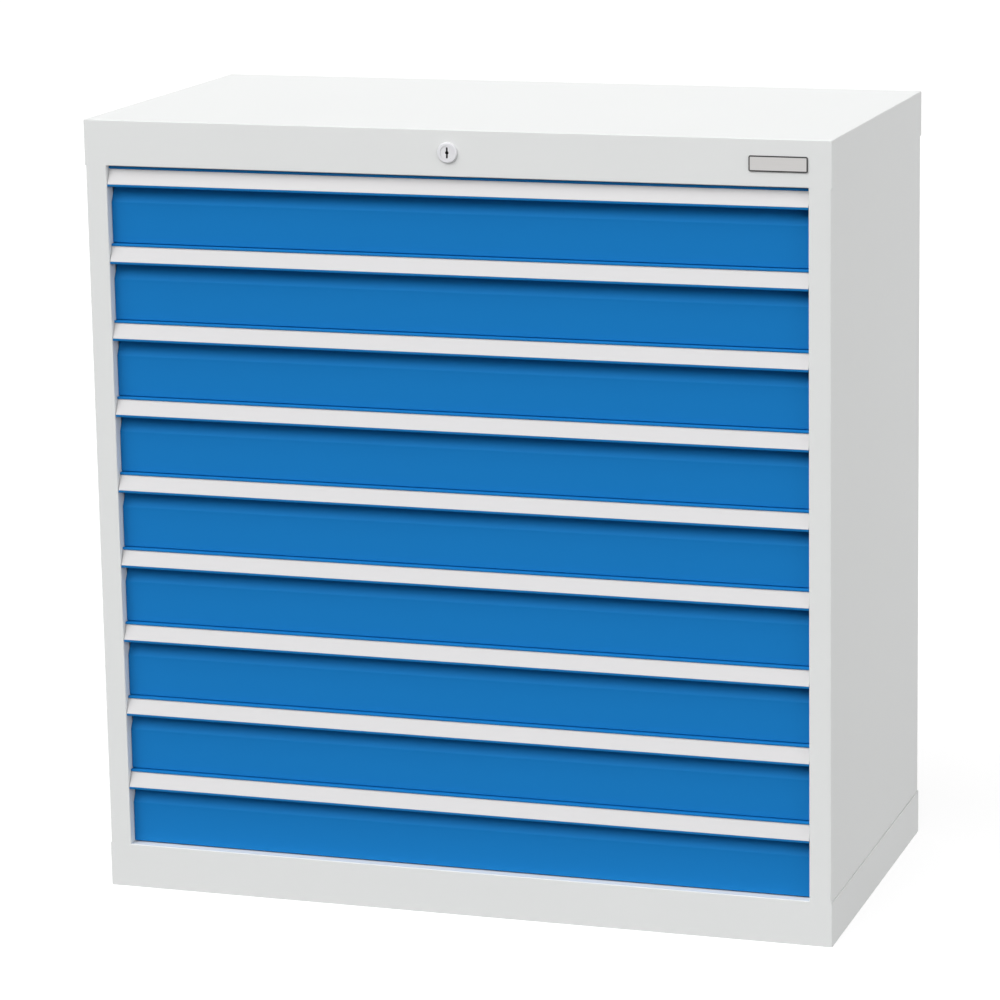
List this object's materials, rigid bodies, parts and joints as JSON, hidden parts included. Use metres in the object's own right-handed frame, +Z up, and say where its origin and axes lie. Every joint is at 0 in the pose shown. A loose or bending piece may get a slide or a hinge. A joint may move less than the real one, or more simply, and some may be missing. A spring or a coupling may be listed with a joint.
{
  "type": "industrial drawer cabinet",
  "caption": "Free-standing steel drawer cabinet: folded case on a plinth, a stack of shallow full-width drawers with slanted label grips on telescopic slides, one central lock.",
  "frame": {"origin": "on the floor, under the middle of the bounding box", "axes": "+Z up, -Y the drawer fronts' side, +X to the right seen from the front"},
  "size_m": [0.98, 0.503, 1.019],
  "materials": {
    "case_paint": "light grey powder coat, fine orange peel, satin",
    "front_paint": "blue powder coat, fine orange peel, satin",
    "strip_plastic": "pale label strip under clear plastic",
    "zinc_steel": "bright zinc plated steel",
    "lock_finish": "light grey die casting, semi gloss",
    "plate_metal": "satin, with a thin dark border"
  },
  "bodies": {
    "case": {"top_cover": "case_paint", "side_panel_left": "case_paint", "side_panel_right": "case_paint", "base_plinth": "case_paint", "bottom_panel": "case_paint", "back_panel": "case_paint", "name_plate": "plate_metal", "runner_frame_left": "zinc_steel", "runner_frame_right": "zinc_steel", "top_crossmember": "case_paint", "lock_housing": "lock_finish"},
    "drawer_1": {"drawer_front_1": "front_paint", "grip_strip_1": "strip_plastic", "drawer_tray_1": "case_paint"},
    "slides_1": {"slide_member_left_1": "zinc_steel", "slide_member_right_1": "zinc_steel"},
    "drawer_2": {"drawer_front_2": "front_paint", "grip_strip_2": "strip_plastic", "drawer_tray_2": "case_paint"},
    "slides_2": {"slide_member_left_2": "zinc_steel", "slide_member_right_2": "zinc_steel"},
    "drawer_3": {"drawer_front_3": "front_paint", "grip_strip_3": "strip_plastic", "drawer_tray_3": "case_paint"},
    "slides_3": {"slide_member_left_3": "zinc_steel", "slide_member_right_3": "zinc_steel"},
    "drawer_4": {"drawer_front_4": "front_paint", "grip_strip_4": "strip_plastic", "drawer_tray_4": "case_paint"},
    "slides_4": {"slide_member_left_4": "zinc_steel", "slide_member_right_4": "zinc_steel"},
    "drawer_5": {"drawer_front_5": "front_paint", "grip_strip_5": "strip_plastic", "drawer_tray_5": "case_paint"},
    "slides_5": {"slide_member_left_5": "zinc_steel", "slide_member_right_5": "zinc_steel"},
    "drawer_6": {"drawer_front_6": "front_paint", "grip_strip_6": "strip_plastic", "drawer_tray_6": "case_paint"},
    "slides_6": {"slide_member_left_6": "zinc_steel", "slide_member_right_6": "zinc_steel"},
    "drawer_7": {"drawer_front_7": "front_paint", "grip_strip_7": "strip_plastic", "drawer_tray_7": "case_paint"},
    "slides_7": {"slide_member_left_7": "zinc_steel", "slide_member_right_7": "zinc_steel"},
    "drawer_8": {"drawer_front_8": "front_paint", "grip_strip_8": "strip_plastic", "drawer_tray_8": "case_paint"},
    "slides_8": {"slide_member_left_8": "zinc_steel", "slide_member_right_8": "zinc_steel"},
    "drawer_9": {"drawer_front_9": "front_paint", "grip_strip_9": "strip_plastic", "drawer_tray_9": "case_paint"},
    "slides_9": {"slide_member_left_9": "zinc_steel", "slide_member_right_9": "zinc_steel"},
    "lock_plug": {"lock_cylinder": "lock_finish", "lock_cam": "zinc_steel"},
    "slide_bar": {"lock_slide_bar": "zinc_steel"},
    "lock_bar": {"locking_bar": "zinc_steel"}
  },
  "joints": [
    {"name": "drawer_1_slide", "type": "slide", "parent": "case", "child": "drawer_1", "axis": [0, -1, 0], "range_m": [0, 0.4]},
    {"name": "slides_1_travel", "type": "slide", "parent": "case", "child": "slides_1", "axis": [0, -1, 0], "range_m": [0, 0.2]},
    {"name": "drawer_2_slide", "type": "slide", "parent": "case", "child": "drawer_2", "axis": [0, -1, 0], "range_m": [0, 0.4]},
    {"name": "slides_2_travel", "type": "slide", "parent": "case", "child": "slides_2", "axis": [0, -1, 0], "range_m": [0, 0.2]},
    {"name": "drawer_3_slide", "type": "slide", "parent": "case", "child": "drawer_3", "axis": [0, -1, 0], "range_m": [0, 0.4]},
    {"name": "slides_3_travel", "type": "slide", "parent": "case", "child": "slides_3", "axis": [0, -1, 0], "range_m": [0, 0.2]},
    {"name": "drawer_4_slide", "type": "slide", "parent": "case", "child": "drawer_4", "axis": [0, -1, 0], "range_m": [0, 0.4]},
    {"name": "slides_4_travel", "type": "slide", "parent": "case", "child": "slides_4", "axis": [0, -1, 0], "range_m": [0, 0.2]},
    {"name": "drawer_5_slide", "type": "slide", "parent": "case", "child": "drawer_5", "axis": [0, -1, 0], "range_m": [0, 0.4]},
    {"name": "slides_5_travel", "type": "slide", "parent": "case", "child": "slides_5", "axis": [0, -1, 0], "range_m": [0, 0.2]},
    {"name": "drawer_6_slide", "type": "slide", "parent": "case", "child": "drawer_6", "axis": [0, -1, 0], "range_m": [0, 0.4]},
    {"name": "slides_6_travel", "type": "slide", "parent": "case", "child": "slides_6", "axis": [0, -1, 0], "range_m": [0, 0.2]},
    {"name": "drawer_7_slide", "type": "slide", "parent": "case", "child": "drawer_7", "axis": [0, -1, 0], "range_m": [0, 0.4]},
    {"name": "slides_7_travel", "type": "slide", "parent": "case", "child": "slides_7", "axis": [0, -1, 0], "range_m": [0, 0.2]},
    {"name": "drawer_8_slide", "type": "slide", "parent": "case", "child": "drawer_8", "axis": [0, -1, 0], "range_m": [0, 0.4]},
    {"name": "slides_8_travel", "type": "slide", "parent": "case", "child": "slides_8", "axis": [0, -1, 0], "range_m": [0, 0.2]},
    {"name": "drawer_9_slide", "type": "slide", "parent": "case", "child": "drawer_9", "axis": [0, -1, 0], "range_m": [0, 0.4]},
    {"name": "slides_9_travel", "type": "slide", "parent": "case", "child": "slides_9", "axis": [0, -1, 0], "range_m": [0, 0.2]},
    {"name": "lock_bar_lift", "type": "slide", "parent": "case", "child": "lock_bar", "axis": [0, 0, 1], "range_m": [0, 0.01414]},
    {"name": "slide_bar_travel", "type": "slide", "parent": "case", "child": "slide_bar", "axis": [1, 0, 0], "range_m": [0, 0.01414]},
    {"name": "lock_turn", "type": "hinge", "parent": "case", "child": "lock_plug", "pos_m": [0, -0.2485, 0.9904], "axis": [0, 1, 0], "range_deg": [0, 90]}
  ],
  "couplings": [
    {"joint": "slides_1_travel", "follows": "drawer_1_slide", "ratio": 0.5},
    {"joint": "slides_2_travel", "follows": "drawer_2_slide", "ratio": 0.5},
    {"joint": "slides_3_travel", "follows": "drawer_3_slide", "ratio": 0.5},
    {"joint": "slides_4_travel", "follows": "drawer_4_slide", "ratio": 0.5},
    {"joint": "slides_5_travel", "follows": "drawer_5_slide", "ratio": 0.5},
    {"joint": "slides_6_travel", "follows": "drawer_6_slide", "ratio": 0.5},
    {"joint": "slides_7_travel", "follows": "drawer_7_slide", "ratio": 0.5},
    {"joint": "slides_8_travel", "follows": "drawer_8_slide", "ratio": 0.5},
    {"joint": "slides_9_travel", "follows": "drawer_9_slide", "ratio": 0.5},
    {"joint": "slide_bar_travel", "follows": "lock_bar_lift", "ratio": 1},
    {"joint": "lock_turn", "follows": "lock_bar_lift", "rad_per_m": 111.07}
  ]
}
